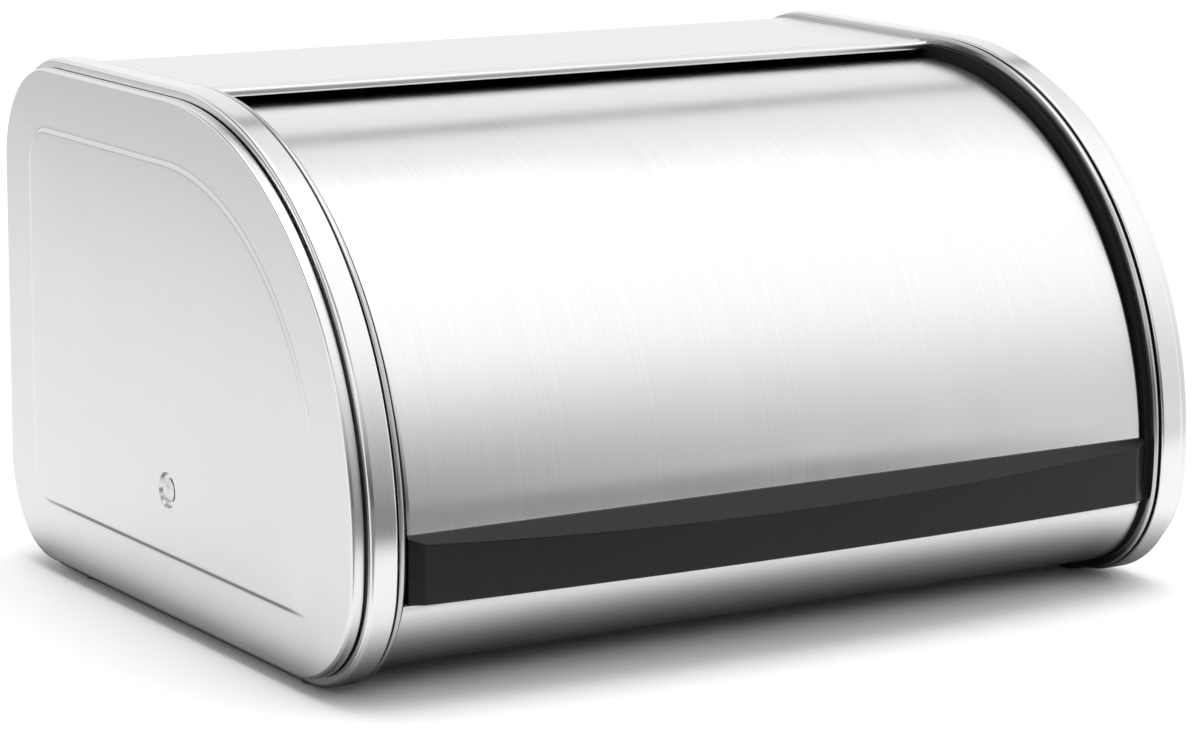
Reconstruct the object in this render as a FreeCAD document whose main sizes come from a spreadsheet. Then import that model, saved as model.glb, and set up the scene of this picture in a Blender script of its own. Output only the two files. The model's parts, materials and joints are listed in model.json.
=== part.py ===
import FreeCAD, Part
import math
import os
import re

import Sketcher

# Bread box with a roll top. X runs along the box's width, +Y to its back and +Z up.
# Two end assemblies hold a wrapped steel shell. A curved lid hangs between them on two rivets
# and rolls back inside the shell. The lowest points of the rubber feet lie at Z = 0.

os.makedirs("parts", exist_ok=True)
doc = FreeCAD.newDocument("bread_box")

# Driving dimensions in millimetres. A "depth" is measured inwards from an outer end face,
# an "inset" inwards from the outline of the rim band, an "angle" upwards from the lid's front.
SIZES = {
    "width": 330,
    "rim_deep": 260,
    "rim_high": 180,
    "front_corner": 42,
    "back_low_corner": 36,
    "back_top_corner": 38,
    "foot_drop": 1.5,
    "sheet_thick": 0.6,
    # end panel
    "face_inset": 3.4,
    "groove_inset": 4.2,
    "panel_inner_inset": 5.0,
    "lip_depth": 4.6,
    "panel_depth": 6.5,
    "panel_step": 0.7,
    "panel_thick": 1.0,
    "raised_inset": 23.4,
    "raised_front_corner": 30,
    "raised_chamfer": 0.63,
    "dimple_wide": 12.5,
    "dimple_deep": 0.9,
    # rim band, trim ring and end liner
    "band_start": 5.5,
    "band_end": 15.2,
    "band_round": 1.2,
    "trim_start": 15.5,
    "trim_end": 17.6,
    "trim_inset": 0.6,
    "trim_round": 0.8,
    "liner_inset": 3.6,
    "liner_depth": 19.5,
    "liner_wall": 2.0,
    # wrapped sheets
    "top_inset": 2.2,
    "back_inset": 3.0,
    "strip_inset": 3.8,
    "lip_back": 5.0,
    "hem_thick": 2.0,
    "hem_drop": 2.6,
    "hem_round": 0.8,
    "strip_high": 31.7,
    "strip_hem_high": 8,
    "strip_hem_thick": 0.8,
    "seam_back": 78,
    "lap_wide": 12,
    # lid
    "pivot_high": 46.5,
    "lid_radius": 125.5,
    "lid_half": 145.0,
    "lid_low_angle": -6.2,
    "lid_top_angle": 100,
    "lid_flange": 9,
    "arm_thick": 2.2,
    "arm_rim": 13,
    "arm_end_gap": 0.6,
    "hub_wide": 26,
    "hub_thick": 3.4,
    "spoke_wide": 16,
    "spoke_start": 6.5,
    "spoke_bite": 2,
    "spoke_low_angle": 8,
    "spoke_top_angle": 85,
    "arm_rivet_radius": 119.5,
    "arm_rivet_wide": 3.2,
    "arm_rivet_head_wide": 5.2,
    "arm_rivet_head_thick": 1.0,
    # pivot
    "shaft_wide": 6,
    "running_gap": 0.05,
    "boss_wide": 17,
    "bush_wide": 10,
    "bush_flange_wide": 15,
    "bush_flange_thick": 0.7,
    "bush_proud": 0.3,
    "rivet_head_wide": 8,
    "rivet_head_high": 1.3,
    "rivet_edge_high": 0.45,
    "rivet_crown_wide": 4.5,
    "washer_wide": 14,
    "washer_thick": 1.0,
    "washer_gap": 0.5,
    "clench_wide": 9,
    "clench_thick": 1.2,
    "clench_chamfer": 0.5,
    # handle
    "handle_half": 145.0,
    "handle_low": 32.2,
    "handle_top": 54.4,
    "handle_proud": 4.0,
    "handle_end_thick": 3.6,
    "handle_end_edge": 1.2,
    "handle_root": 12.5,
    "handle_bevel": 5.0,
    "facet_slope": 0.8,
    "handle_screw_low": 2.5,
    "handle_screw_wide": 3.4,
    "handle_screw_head_wide": 7,
    "handle_screw_head_thick": 2.2,
    "handle_screw_bite": 3.6,
    "handle_screw_seat": 0.25,
    "handle_round": 0.6,
    # stops and feet
    "stop_radius": 111.5,
    "stop_wide": 9,
    "stop_stem_wide": 5,
    "stop_round": 0.9,
    "stop_gap": 0.4,
    "stop_proud": 1.0,
    "opening_angle": 85,
    "foot_wide": 9,
    "foot_stem_wide": 5,
    "foot_side_depth": 12.6,
    "foot_back": 80,
}

sheet = doc.addObject("Spreadsheet::Sheet", "sizes")
for row, (name, number) in enumerate(SIZES.items(), start=1):
    sheet.set(f"A{row}", name)
    sheet.set(f"B{row}", str(number))
    sheet.setAlias(f"B{row}", name)
doc.recompute()

# Longer than any part of the box, for cuts that run past it.
BIG = 400
SIDES = {"left": -1, "right": 1}
FOOT_PLACES = {"front": -1, "rear": 1}

# Lid pieces are drawn about the pivot's axis.
PIVOT_HIGH = "foot_drop + pivot_high"

# Depths along the pivot, from an arm's outer face inwards.
ARM_OUTER = "width / 2 - lid_half + sheet_thick"
ARM_INNER = f"{ARM_OUTER} + arm_thick"
HUB_END = f"{ARM_OUTER} + hub_thick"
BUSH_END = f"{HUB_END} + bush_proud"
WASHER_START = f"{BUSH_END} + washer_gap"
WASHER_END = f"{WASHER_START} + washer_thick"

# The arms stop short of the lid's lower edge and run past its upper one, to meet the bumpers.
ARM_LOW_ANGLE = "(lid_low_angle + arm_end_gap)"
ARM_TOP_ANGLE = "(lid_top_angle + arm_end_gap)"

# The back shell runs between the trim rings, and the base pan between the end liners.
SHELL_LONG = "width - 2 * trim_end"
PAN_LONG = "width - 2 * liner_depth"

LID_SPAN = "(lid_top_angle - lid_low_angle)"
LID_TURN = "(90 - (lid_top_angle + lid_low_angle) / 2)"

# Places of the rivets along an arm, and of the screws along half the lid, as shares of it.
ARM_RIVET_SHARES = (0.08, 0.36, 0.64, 0.92)
SCREW_SHARES = (-0.76, -0.26, 0.26, 0.76)

parts = []


def cells(expression):
    """Write each cell's short name in an expression as sizes.NAME."""
    def full_name(match):
        word = match.group()
        return f"sizes.{word}" if word in SIZES else word

    return re.sub(r"\b[a-z_]+\b", full_name, expression)


def value(expression):
    return float(sheet.evalExpression(cells(expression)))


def bind(thing, **expressions):
    """Bind properties to the spreadsheet; a double underscore stands for a dot."""
    for name, expression in expressions.items():
        thing.setExpression(name.replace("__", "."), cells(expression))


def keep(thing, label, high="foot_drop"):
    """Make a finished piece a sub-part and set it in the box's frame."""
    thing.Label = label
    bind(thing, Placement__Base__y="handle_proud / 2", Placement__Base__z=high)
    parts.append(thing)
    return thing


def new_body(label, high="foot_drop"):
    return keep(doc.addObject("PartDesign::Body", label), label, high)


def origin_plane(body, role):
    return next(item for item in body.Origin.OriginFeatures if item.Role == role)


def new_sketch(body, name, role="YZ_Plane", offset="0", turn=0.0):
    """A sketch on an origin plane, moved along its normal and turned about it."""
    sketch = body.newObject("Sketcher::SketchObject", f"{body.Name}_{name}")
    sketch.AttachmentSupport = [(origin_plane(body, role), "")]
    sketch.MapMode = "FlatFace"
    turned = FreeCAD.Rotation(FreeCAD.Vector(0, 0, 1), turn)
    sketch.AttachmentOffset = FreeCAD.Placement(FreeCAD.Vector(0, 0, value(offset)), turned)
    sketch.setExpression("AttachmentOffset.Base.z", cells(offset))
    return sketch


def dimension(sketch, kind, *references):
    """A sketch constraint whose size is the last reference, an expression."""
    expression = references[-1]
    index = sketch.addConstraint(Sketcher.Constraint(kind, *references[:-1], value(expression)))
    sketch.setExpression(f"Constraints[{index}]", cells(expression))


def place_point(sketch, geometry, corner, across, along):
    dimension(sketch, "DistanceX", -1, 1, geometry, corner, across)
    dimension(sketch, "DistanceY", -1, 1, geometry, corner, along)


def vector(across, along):
    return FreeCAD.Vector(value(across), value(along), 0)


def polygon(sketch, points):
    """A closed run of straight lines through points given as pairs of expressions."""
    corners = [vector(*point) for point in points]
    for start, stop in zip(corners, corners[1:] + corners[:1]):
        sketch.addGeometry(Part.LineSegment(start, stop))
    for index in range(len(points)):
        following = (index + 1) % len(points)
        sketch.addConstraint(Sketcher.Constraint("Coincident", index, 2, following, 1))
    for index, point in enumerate(points):
        place_point(sketch, index, 1, *point)


def rectangle(sketch, left, low, right, high):
    polygon(sketch, [(left, low), (right, low), (right, high), (left, high)])


def circle(sketch, across, along, wide):
    ring = Part.Circle(vector(across, along), FreeCAD.Vector(0, 0, 1), value(wide) / 2)
    index = sketch.addGeometry(ring)
    dimension(sketch, "Radius", index, f"({wide}) / 2")
    place_point(sketch, index, 3, across, along)


def arc(centre_across, centre_along, radius, start, stop):
    ring = Part.Circle(FreeCAD.Vector(centre_across, centre_along, 0), FreeCAD.Vector(0, 0, 1), radius)
    return Part.ArcOfCircle(ring, math.radians(start), math.radians(stop))


def d_outline(sketch, floor, top=None, back=None, low_corner="front_corner"):
    """The outline of an end: flat foot, upright back, flat top and one big round front."""
    top = top or floor
    back = back or floor
    radii = {
        "back_low": f"back_low_corner - ({back})",
        "back_top": f"back_top_corner - ({back})",
        "front": f"rim_deep / 2 - ({top})",
        "front_low": f"{low_corner} - ({floor})",
    }
    base_z = value(floor)
    back_y = value("rim_deep / 2") - value(back)
    arc_z = value("rim_high - rim_deep / 2")
    low, upper, front, toe = [value(radius) for radius in radii.values()]
    top_z = arc_z + front
    toe_z = base_z + toe
    toe_y = -math.sqrt((front - toe) ** 2 - (arc_z - toe_z) ** 2)
    meet = 180 + math.degrees(math.atan2(arc_z - toe_z, -toe_y))
    toe_foot = FreeCAD.Vector(toe_y, base_z, 0)
    heel = FreeCAD.Vector(back_y - low, base_z, 0)
    back_start = FreeCAD.Vector(back_y, base_z + low, 0)
    back_stop = FreeCAD.Vector(back_y, top_z - upper, 0)
    crown = FreeCAD.Vector(back_y - upper, top_z, 0)
    sketch.addGeometry(Part.LineSegment(toe_foot, heel))
    sketch.addGeometry(arc(back_y - low, base_z + low, low, 270, 360))
    sketch.addGeometry(Part.LineSegment(back_start, back_stop))
    sketch.addGeometry(arc(back_y - upper, top_z - upper, upper, 0, 90))
    sketch.addGeometry(Part.LineSegment(crown, FreeCAD.Vector(0, top_z, 0)))
    sketch.addGeometry(arc(0, arc_z, front, 90, meet))
    sketch.addGeometry(arc(toe_y, toe_z, toe, meet, 270))
    for index in range(7):
        sketch.addConstraint(Sketcher.Constraint("Tangent", index, 2, (index + 1) % 7, 1))
    for level in (0, 4):
        sketch.addConstraint(Sketcher.Constraint("Horizontal", level))
    sketch.addConstraint(Sketcher.Constraint("Vertical", 2))
    for index, radius in zip((1, 3, 5, 6), radii.values()):
        dimension(sketch, "Radius", index, radius)
    sketch.addConstraint(Sketcher.Constraint("PointOnObject", 5, 3, -2))
    dimension(sketch, "DistanceY", -1, 1, 5, 3, "rim_high - rim_deep / 2")
    dimension(sketch, "DistanceY", -1, 1, 0, 2, floor)
    dimension(sketch, "DistanceX", -1, 1, 2, 1, f"rim_deep / 2 - ({back})")


def arc_band(sketch, centre, outer, inner, start, stop):
    """Part of a ring between two radii and two angles, in degrees from +Y towards +Z."""
    across, along = [value(item) for item in centre]
    wide, narrow = value(outer), value(inner)
    from_angle, to_angle = value(start), value(stop)

    def rim(radius, angle):
        turned = math.radians(angle)
        return FreeCAD.Vector(across + radius * math.cos(turned), along + radius * math.sin(turned), 0)

    sketch.addGeometry(arc(across, along, wide, from_angle, to_angle))
    sketch.addGeometry(Part.LineSegment(rim(wide, to_angle), rim(narrow, to_angle)))
    sketch.addGeometry(arc(across, along, narrow, from_angle, to_angle))
    sketch.addGeometry(Part.LineSegment(rim(narrow, from_angle), rim(wide, from_angle)))
    for first, end, second, begin in ((0, 2, 1, 1), (1, 2, 2, 2), (2, 1, 3, 1), (3, 2, 0, 1)):
        sketch.addConstraint(Sketcher.Constraint("Coincident", first, end, second, begin))
    sketch.addConstraint(Sketcher.Constraint("Coincident", 0, 3, 2, 3))
    dimension(sketch, "Radius", 0, outer)
    dimension(sketch, "Radius", 2, inner)
    place_point(sketch, 0, 3, *centre)
    for line, end, angle in ((1, 1, stop), (3, 2, start)):
        reach = f"({outer}) * cos(({angle}) * 1deg)"
        dimension(sketch, "DistanceX", -1, 1, line, end, f"{centre[0]} + {reach}")
        sketch.addConstraint(Sketcher.Constraint("PointOnObject", 0, 3, line))


def feature(body, kind, sketch, name, **expressions):
    made = body.newObject(kind, f"{body.Name}_{name}")
    made.Profile = sketch
    bind(made, **expressions)
    sketch.Visibility = False
    return made


def pad(body, sketch, name, length, side=0):
    """Pad towards +1 or -1 along the sketch's normal, or both ways for 0."""
    made = feature(body, "PartDesign::Pad", sketch, name, Length=length)
    made.SideType = "One side" if side else "Symmetric"
    made.Reversed = side < 0
    return made


def cut_through(body, sketch, name):
    made = feature(body, "PartDesign::Pocket", sketch, name)
    made.SideType = "Symmetric"
    made.Type = "ThroughAll"
    doc.recompute()
    return made


def cut(body, sketch, name, length, side):
    """Cut towards +1 or -1 along the sketch's normal."""
    made = feature(body, "PartDesign::Pocket", sketch, name, Length=length)
    made.Reversed = side > 0
    return made


def revolve(body, sketch, name, axis="H_Axis"):
    made = feature(body, "PartDesign::Revolution", sketch, name)
    made.ReferenceAxis = (sketch, [axis])
    made.Angle = 360
    return made


def rim_edges(shape, x):
    """Names of the edges round the flat face at x."""
    faces = [face for face in shape.Faces if isinstance(face.Surface, Part.Plane)]
    flat = [face for face in faces if face.BoundBox.XLength < 0.01 and abs(face.BoundBox.XMin - x) < 0.01]
    wire = max(flat, key=lambda face: face.OuterWire.BoundBox.YLength).OuterWire
    return [f"Edge{number}" for number, edge in enumerate(shape.Edges, start=1)
            if any(edge.isSame(other) for other in wire.Edges)]


def soften(body, base, kind, name, stations, size):
    """Fillet or chamfer the outline edges of the flat faces at the given stations along X."""
    doc.recompute()
    names = []
    for x in stations:
        names += rim_edges(base.Shape, x)
    made = body.newObject(f"PartDesign::{kind}", f"{body.Name}_{name}")
    made.Base = (base, names)
    bind(made, **{"Radius" if kind == "Fillet" else "Size": size})
    doc.recompute()
    return made


def station(side, depth):
    """The place along X of a depth measured inwards from one end's outer face."""
    return f"{side} * (width / 2 - ({depth}))"


def side_panel(label, side):
    """Pressed steel end: a shallow pan with a rolled lip and a raised middle."""
    body = new_body(label)
    start = new_sketch(body, "neck_outline", offset=station(side, "panel_depth"))
    d_outline(start, "groove_inset")
    pad(body, start, "neck", "panel_depth - lip_depth", side)
    lip = new_sketch(body, "lip_outline", offset=station(side, "lip_depth"))
    d_outline(lip, "face_inset")
    rolled = pad(body, lip, "lip", "lip_depth - panel_step", side)
    soften(body, rolled, "Fillet", "lip_round", [value(station(side, "panel_step"))], "lip_depth / 2")
    hollow = new_sketch(body, "hollow_outline", offset=station(side, "panel_depth"))
    d_outline(hollow, "panel_inner_inset")
    cut(body, hollow, "hollow", "panel_depth - panel_step - panel_thick", side)
    raised = new_sketch(body, "raised_outline", offset=station(side, "panel_step"))
    d_outline(raised, "raised_inset", low_corner="raised_inset + raised_front_corner")
    middle = pad(body, raised, "raised_middle", "panel_step", side)
    soften(body, middle, "Chamfer", "raised_slope", [value(station(side, "0"))], "raised_chamfer")
    dimple = new_sketch(body, "dimple_outline", offset=station(side, "0"))
    circle(dimple, "0", "pivot_high", "dimple_wide")
    cut(body, dimple, "dimple", "dimple_deep", -side)
    bore = new_sketch(body, "bore_outline")
    circle(bore, "0", "pivot_high", "shaft_wide")
    cut_through(body, bore, "bore")


def ring(label, side, outer_depth, inner_depth, inset, roundness):
    """A closed ring that follows the outline of the end."""
    body = new_body(label)
    outline = new_sketch(body, "outline", offset=station(side, inner_depth))
    d_outline(outline, inset)
    solid = pad(body, outline, "solid", f"{inner_depth} - {outer_depth}", side)
    ends = [value(station(side, outer_depth)), value(station(side, inner_depth))]
    soften(body, solid, "Fillet", "round", ends, roundness)
    inside = new_sketch(body, "inside")
    d_outline(inside, "face_inset")
    cut_through(body, inside, "inside_cut")
    return body


def foot_holes(body, side, name):
    """Holes for the stems of the two feet under one end."""
    for place, way in FOOT_PLACES.items():
        hole = new_sketch(body, f"{name}_{place}", role="XY_Plane")
        circle(hole, station(side, "foot_side_depth"), f"{way} * foot_back", "foot_stem_wide")
        cut(body, hole, f"{name}_{place}_cut", "panel_inner_inset + liner_wall", 1)


def rim_band(label, side):
    body = ring(label, side, "band_start", "band_end", "0", "band_round")
    foot_holes(body, side, "foot_hole")


def trim_ring(label, side):
    ring(label, side, "trim_start", "trim_end", "trim_inset", "trim_round")


def stop_angle(open_stop):
    """Angle of a stop bumper's centre, where the lid's arm meets its round side."""
    reach = "asin((stop_wide / 2 + stop_gap) / stop_radius) / 1deg"
    if open_stop:
        return f"({ARM_TOP_ANGLE} + opening_angle + {reach})"
    return f"({ARM_LOW_ANGLE} - {reach})"


def polar(radius, angle):
    """Across and along, from the pivot, of a point at an angle upwards from the front."""
    return f"0 - {radius} * cos({angle} * 1deg)", f"{radius} * sin({angle} * 1deg)"


def stop_place(open_stop):
    across, along = polar("stop_radius", stop_angle(open_stop))
    return across, f"pivot_high + {along}"


def end_liner(label, side):
    """Black plastic end plate with a flange that carries the steel rings, and the pivot's boss."""
    body = new_body(label)
    plate = new_sketch(body, "plate_outline", offset=station(side, "liner_depth"))
    d_outline(plate, "strip_inset + sheet_thick", "liner_inset", "back_inset + sheet_thick")
    pad(body, plate, "plate", "liner_depth - trim_end", side)
    wall = new_sketch(body, "wall_outline", offset=station(side, "trim_end"))
    d_outline(wall, "face_inset")
    pad(body, wall, "wall", "trim_end - panel_depth", side)
    hollow = new_sketch(body, "hollow_outline", offset=station(side, "trim_end"))
    d_outline(hollow, "face_inset + liner_wall")
    cut(body, hollow, "hollow", "trim_end - panel_depth", side)
    boss = new_sketch(body, "boss_outline", offset=station(side, "trim_end"))
    circle(boss, "0", "pivot_high", "boss_wide")
    pad(body, boss, "boss", "trim_end - panel_step - panel_thick", side)
    bore = new_sketch(body, "bore_outline")
    circle(bore, "0", "pivot_high", "shaft_wide")
    cut_through(body, bore, "bore")
    for name, open_stop in (("open", True), ("closed", False)):
        hole = new_sketch(body, f"{name}_stop_hole")
        circle(hole, *stop_place(open_stop), "stop_stem_wide")
        cut_through(body, hole, f"{name}_stop_cut")
    foot_holes(body, side, "foot_hole")


def pivot_rivet(label, side):
    """Domed rivet through the panel, the liner's boss and the lid's bush."""
    body = new_body(label, PIVOT_HIGH)
    outline = new_sketch(body, "outline", role="XZ_Plane")
    seat = station(side, "dimple_deep")
    clench = station(side, WASHER_END)
    tip = station(side, f"{WASHER_END} + clench_thick")
    edge = f"{seat} + {side} * rivet_edge_high"
    crown = f"{seat} + {side} * rivet_head_high"
    polygon(outline, [
        (crown, "0"),
        (crown, "rivet_crown_wide / 2"),
        (edge, "rivet_head_wide / 2"),
        (seat, "rivet_head_wide / 2"),
        (seat, "shaft_wide / 2"),
        (clench, "shaft_wide / 2"),
        (clench, "clench_wide / 2"),
        (tip, "clench_wide / 2 - clench_chamfer"),
        (tip, "0"),
    ])
    revolve(body, outline, "turned")


def tube(label, side, outer_depth, inner_depth, outer_wide, inner_wide):
    """A plain ring about the pivot's axis."""
    body = new_body(label, PIVOT_HIGH)
    outline = new_sketch(body, "outline", offset=station(side, inner_depth))
    circle(outline, "0", "0", outer_wide)
    circle(outline, "0", "0", inner_wide)
    pad(body, outline, "ring", f"{inner_depth} - ( {outer_depth} )", side)
    return body


def pivot_washer(label, side):
    tube(label, side, WASHER_START, WASHER_END, "washer_wide", "shaft_wide")


def pivot_bush(label, side):
    """Nylon bush pressed into the arm's hub, with a flange towards the liner."""
    bore = "shaft_wide + 2 * running_gap"
    body = tube(label, side, ARM_OUTER, BUSH_END, "bush_wide", bore)
    flange = new_sketch(body, "flange_outline", offset=station(side, ARM_OUTER))
    circle(flange, "0", "0", "bush_flange_wide")
    circle(flange, "0", "0", bore)
    pad(body, flange, "flange", "bush_flange_thick", side)


def stop_bumper(label, side, open_stop):
    """Rubber bumper whose stem is pushed into the end liner."""
    across, along = stop_place(open_stop)
    body = new_body(label)
    stem = new_sketch(body, "stem_outline", offset=station(side, "liner_depth"))
    circle(stem, across, along, "stop_stem_wide")
    pad(body, stem, "stem", "liner_depth - trim_end", side)
    head = new_sketch(body, "head_outline", offset=station(side, "liner_depth"))
    circle(head, across, along, "stop_wide")
    knob = pad(body, head, "head", f"{ARM_INNER} + stop_proud - liner_depth", -side)
    inner = station(side, f"{ARM_INNER} + stop_proud")
    soften(body, knob, "Fillet", "head_round", [value(inner)], "stop_round")


def foot(label, side, way):
    """Rubber foot under an end: a low round pad with a stem up into the rim."""
    body = new_body(label, high="0")
    middle = (station(side, "foot_side_depth"), f"{way} * foot_back")
    base = new_sketch(body, "pad_outline", role="XY_Plane")
    circle(base, *middle, "foot_wide")
    pad(body, base, "pad", "foot_drop", 1)
    stem = new_sketch(body, "stem_outline", role="XY_Plane", offset="foot_drop")
    circle(stem, *middle, "foot_stem_wide")
    pad(body, stem, "stem", "face_inset + liner_wall", 1)


def back_shell():
    """Top, back and rear bend of the wrapped sheet, with a rolled lip over the lid."""
    body = new_body("back_shell")
    outer = new_sketch(body, "outer")
    d_outline(outer, "strip_inset", "top_inset", "back_inset")
    pad(body, outer, "wrap", SHELL_LONG)
    inner = new_sketch(body, "inner")
    d_outline(inner, "strip_inset + sheet_thick", "top_inset + sheet_thick", "back_inset + sheet_thick")
    cut_through(body, inner, "inner_cut")
    front = new_sketch(body, "front")
    rectangle(front, f"0 - {BIG}", "rim_high / 2", "lip_back", f"{BIG}")
    cut_through(body, front, "front_cut")
    floor = new_sketch(body, "floor")
    rectangle(floor, f"0 - {BIG}", f"0 - {BIG}", "seam_back", "rim_high / 2")
    cut_through(body, floor, "floor_cut")
    hem = new_sketch(body, "hem")
    under = "rim_high - top_inset - sheet_thick - hem_drop"
    upper = "rim_high - top_inset"
    rectangle(hem, "lip_back", under, "lip_back + hem_thick", upper)
    folded = pad(body, hem, "hem_fold", PAN_LONG)
    doc.recompute()
    long_edges = [(number, edge.BoundBox) for number, edge in enumerate(folded.Shape.Edges, start=1)
                  if edge.BoundBox.XLength > value("width / 2")]
    nose = [f"Edge{number}" for number, box in long_edges if abs(box.YMax - value("lip_back")) < 0.01]
    rounded = body.newObject("PartDesign::Fillet", "back_shell_hem_round")
    rounded.Base = (folded, nose)
    bind(rounded, Radius="hem_round")


def base_pan():
    """Floor of the box with the front strip, its folded top edge and a lap for the back shell."""
    body = new_body("base_pan")
    outer = new_sketch(body, "outer")
    d_outline(outer, "strip_inset")
    pad(body, outer, "wrap", PAN_LONG)
    inner = new_sketch(body, "inner")
    d_outline(inner, "strip_inset + sheet_thick")
    cut_through(body, inner, "inner_cut")
    upper = new_sketch(body, "upper")
    rectangle(upper, f"0 - {BIG}", "strip_high", f"{BIG}", f"{BIG}")
    cut_through(body, upper, "upper_cut")
    rear = new_sketch(body, "rear")
    rectangle(rear, "seam_back", f"0 - {BIG}", f"{BIG}", f"{BIG}")
    cut_through(body, rear, "rear_cut")
    lap = new_sketch(body, "lap")
    floor = "strip_inset + sheet_thick"
    rectangle(lap, "seam_back - lap_wide", floor, "seam_back + lap_wide", f"{floor} + sheet_thick")
    pad(body, lap, "lap_fold", PAN_LONG)
    hem = new_sketch(body, "hem")
    reach = "rim_deep / 2 - front_corner"
    toe_y = f"(0 - sqrt(({reach})^2 - (rim_high - rim_deep / 2 - front_corner)^2))"
    radius = "front_corner - strip_inset - sheet_thick"
    start = f"180 + asin((front_corner - strip_high) / ({radius})) / 1deg"
    stop = f"180 + asin((front_corner - strip_high + strip_hem_high) / ({radius})) / 1deg"
    arc_band(hem, (toe_y, "front_corner"), radius, f"{radius} - strip_hem_thick", start, stop)
    pad(body, hem, "hem_fold", PAN_LONG)


def rivet_angle(share):
    return f"(lid_low_angle + {share} * {LID_SPAN})"


def lid_sheet():
    """Curved lid with an inward flange at each end, drawn with its middle straight up."""
    body = new_body("lid_sheet", PIVOT_HIGH)
    turn = FreeCAD.Rotation(FreeCAD.Vector(1, 0, 0), value(LID_TURN))
    body.Placement = FreeCAD.Placement(FreeCAD.Vector(0, 0, 0), turn)
    bind(body, Placement__Rotation__Angle=LID_TURN)
    section = new_sketch(body, "section", role="XZ_Plane")
    skin = "lid_radius - sheet_thick"
    flange = "lid_radius - lid_flange"
    polygon(section, [
        ("0 - lid_half", flange),
        ("sheet_thick - lid_half", flange),
        ("sheet_thick - lid_half", skin),
        ("lid_half - sheet_thick", skin),
        ("lid_half - sheet_thick", flange),
        ("lid_half", flange),
        ("lid_half", "lid_radius"),
        ("0 - lid_half", "lid_radius"),
    ])
    rolled = feature(body, "PartDesign::Revolution", section, "rolled", Angle=f"{LID_SPAN} * 1deg")
    rolled.ReferenceAxis = (section, ["H_Axis"])
    rolled.Midplane = True
    rivets = new_sketch(body, "rivet_holes")
    for share in ARM_RIVET_SHARES:
        place = polar("arm_rivet_radius", f"({rivet_angle(share)} + {LID_TURN})")
        circle(rivets, *place, "arm_rivet_wide")
    cut_through(body, rivets, "rivet_cut")
    screws = new_sketch(body, "screw_holes", role="XZ_Plane")
    back = FreeCAD.Rotation(FreeCAD.Vector(-1, 0, 0), value(LID_TURN))
    screws.AttachmentOffset = FreeCAD.Placement(FreeCAD.Vector(0, 0, 0), back)
    screws.setExpression("AttachmentOffset.Rotation.Angle", cells(LID_TURN))
    for share in SCREW_SHARES:
        circle(screws, f"{share} * lid_half", "0 - handle_screw_low", "handle_screw_wide")
    cut(body, screws, "screw_cut", "2 * lid_radius", 1)


def lid_arm(label, side):
    """Black plastic arm: a rim behind the lid's flange, two spokes and a hub."""
    body = new_body(label, PIVOT_HIGH)
    inner_face = station(side, ARM_INNER)
    rim = new_sketch(body, "rim_outline", offset=inner_face)
    outer = "lid_radius - sheet_thick"
    start = f"180 - {ARM_TOP_ANGLE}"
    stop = f"180 - {ARM_LOW_ANGLE}"
    arc_band(rim, ("0", "0"), outer, f"{outer} - arm_rim", start, stop)
    pad(body, rim, "rim", "arm_thick", side)
    hub = new_sketch(body, "hub_outline", offset=station(side, HUB_END))
    circle(hub, "0", "0", "hub_wide")
    pad(body, hub, "hub", "hub_thick", side)
    for name, angle in (("low_spoke", "spoke_low_angle"), ("top_spoke", "spoke_top_angle")):
        spoke = new_sketch(body, f"{name}_outline", offset=inner_face, turn=value(f"180 - {angle}"))
        half = "spoke_wide / 2"
        rectangle(spoke, "spoke_start", f"0 - {half}", f"{outer} - arm_rim + spoke_bite", half)
        pad(body, spoke, name, "arm_thick", side)
    bore = new_sketch(body, "bore_outline")
    circle(bore, "0", "0", "bush_wide")
    cut_through(body, bore, "bore")
    rivets = new_sketch(body, "rivet_holes")
    for share in ARM_RIVET_SHARES:
        circle(rivets, *polar("arm_rivet_radius", rivet_angle(share)), "arm_rivet_wide")
    cut_through(body, rivets, "rivet_cut")


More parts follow.
